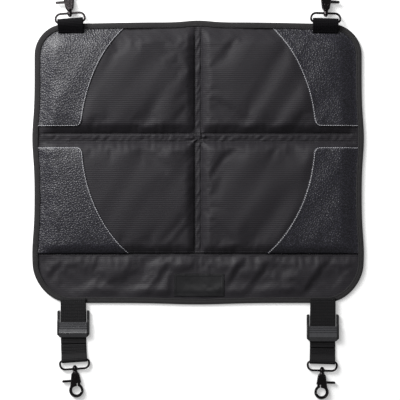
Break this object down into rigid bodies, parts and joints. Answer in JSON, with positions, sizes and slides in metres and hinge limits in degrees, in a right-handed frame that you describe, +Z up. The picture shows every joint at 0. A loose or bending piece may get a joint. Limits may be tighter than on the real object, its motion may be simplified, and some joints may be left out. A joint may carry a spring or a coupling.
{
  "type": "car seat protector",
  "caption": "Quilted car seat protector mat with leather corners, adjustable webbing straps and swivel snap hooks.",
  "frame": {"origin": "middle of the footprint, on the floor that the mat lies on", "axes": "+X across the mat to its right side, +Y up the mat towards the top hooks, +Z up off the face"},
  "size_m": [0.4964, 0.6196, 0.0151],
  "materials": {
    "front_cloth": "ribbed woven polyester, dark grey",
    "flap_cloth": "ribbed woven polyester, dark grey",
    "back_cloth": "plain dark non-slip backing cloth",
    "foam": "soft grey padding foam",
    "leather": "pebbled dark grey synthetic leather",
    "tape": "woven grey edge tape",
    "satin": "black satin, bare",
    "webbing": "black ribbed webbing",
    "plastic": "glossy black moulded plastic",
    "cast_metal": "dark nickel plating over a zinc casting",
    "spring_steel": "bright spring wire"
  },
  "bodies": {
    "mat": {"back_cover": "back_cloth", "front_panel": "front_cloth", "lower_flap": "flap_cloth", "edge_binding": "tape", "label_patch": "satin", "foam_pad_upper_left": "foam", "corner_patch_upper_left": "leather", "foam_pad_upper_right": "foam", "corner_patch_upper_right": "leather", "foam_pad_lower_left": "foam", "corner_patch_lower_left": "leather", "foam_pad_lower_right": "foam", "corner_patch_lower_right": "leather", "top_strap_left": "webbing", "sewn_strap_left": "webbing", "ladder_lock_left": "plastic", "adjustable_strap_left": "webbing", "top_strap_right": "webbing", "sewn_strap_right": "webbing", "ladder_lock_right": "plastic", "adjustable_strap_right": "webbing"},
    "eye_top_left": {"eye_top_left": "cast_metal"},
    "hook_top_left": {"hook_top_left": "cast_metal", "rivet_top_left": "cast_metal", "spring_top_left": "spring_steel"},
    "trigger_top_left": {"trigger_top_left": "cast_metal"},
    "eye_top_right": {"eye_top_right": "cast_metal"},
    "hook_top_right": {"hook_top_right": "cast_metal", "rivet_top_right": "cast_metal", "spring_top_right": "spring_steel"},
    "trigger_top_right": {"trigger_top_right": "cast_metal"},
    "eye_bottom_left": {"eye_bottom_left": "cast_metal"},
    "hook_bottom_left": {"hook_bottom_left": "cast_metal", "rivet_bottom_left": "cast_metal", "spring_bottom_left": "spring_steel"},
    "trigger_bottom_left": {"trigger_bottom_left": "cast_metal"},
    "eye_bottom_right": {"eye_bottom_right": "cast_metal"},
    "hook_bottom_right": {"hook_bottom_right": "cast_metal", "rivet_bottom_right": "cast_metal", "spring_bottom_right": "spring_steel"},
    "trigger_bottom_right": {"trigger_bottom_right": "cast_metal"}
  },
  "joints": [
    {"name": "top_left_eye_swing", "type": "hinge", "parent": "mat", "child": "eye_top_left", "pos_m": [-0.19049, 0.25415, 0.0093], "axis": [0.997, 0.0779, 0], "range_deg": [-60, 110]},
    {"name": "top_left_swivel", "type": "hinge", "parent": "eye_top_left", "child": "hook_top_left", "pos_m": [-0.19049, 0.25415, 0.0093], "axis": [-0.0774, 0.9906, -0.1127], "continuous": true},
    {"name": "top_left_trigger", "type": "hinge", "parent": "hook_top_left", "child": "trigger_top_left", "pos_m": [-0.19246, 0.27941, 0.00643], "axis": [-0.0088, 0.1124, 0.9936], "range_deg": [0, 21.5], "stiffness_Nm_per_rad": 0.1, "springref_deg": -17.19},
    {"name": "top_right_eye_swing", "type": "hinge", "parent": "mat", "child": "eye_top_right", "pos_m": [0.19022, 0.25415, 0.0093], "axis": [0.9994, -0.035, 0], "range_deg": [-60, 110]},
    {"name": "top_right_swivel", "type": "hinge", "parent": "eye_top_right", "child": "hook_top_right", "pos_m": [0.19022, 0.25415, 0.0093], "axis": [0.0348, 0.993, -0.1127], "continuous": true},
    {"name": "top_right_trigger", "type": "hinge", "parent": "hook_top_right", "child": "trigger_top_right", "pos_m": [0.1911, 0.27947, 0.00643], "axis": [-0.0039, -0.1126, -0.9936], "range_deg": [0, 21.5], "stiffness_Nm_per_rad": 0.1, "springref_deg": -17.19},
    {"name": "bottom_left_eye_swing", "type": "hinge", "parent": "mat", "child": "eye_bottom_left", "pos_m": [-0.1852, -0.25145, 0.004], "axis": [-0.9976, -0.0699, 0], "range_deg": [-110, 110]},
    {"name": "bottom_left_swivel", "type": "hinge", "parent": "eye_bottom_left", "child": "hook_bottom_left", "pos_m": [-0.1852, -0.25145, 0.004], "axis": [0.0699, -0.9976, 0], "continuous": true},
    {"name": "bottom_left_trigger", "type": "hinge", "parent": "hook_bottom_left", "child": "trigger_bottom_left", "pos_m": [-0.18341, -0.27689, 0.004], "axis": [0, 0, -1], "range_deg": [0, 21.5], "stiffness_Nm_per_rad": 0.1, "springref_deg": -17.19},
    {"name": "bottom_right_eye_swing", "type": "hinge", "parent": "mat", "child": "eye_bottom_right", "pos_m": [0.18596, -0.25396, 0.004], "axis": [-0.9995, 0.032, 0], "range_deg": [-110, 110]},
    {"name": "bottom_right_swivel", "type": "hinge", "parent": "eye_bottom_right", "child": "hook_bottom_right", "pos_m": [0.18596, -0.25396, 0.004], "axis": [-0.032, -0.9995, 0], "continuous": true},
    {"name": "bottom_right_trigger", "type": "hinge", "parent": "hook_bottom_right", "child": "trigger_bottom_right", "pos_m": [0.18515, -0.27945, 0.004], "axis": [0, 0, 1], "range_deg": [0, 21.5], "stiffness_Nm_per_rad": 0.1, "springref_deg": -17.19}
  ]
}
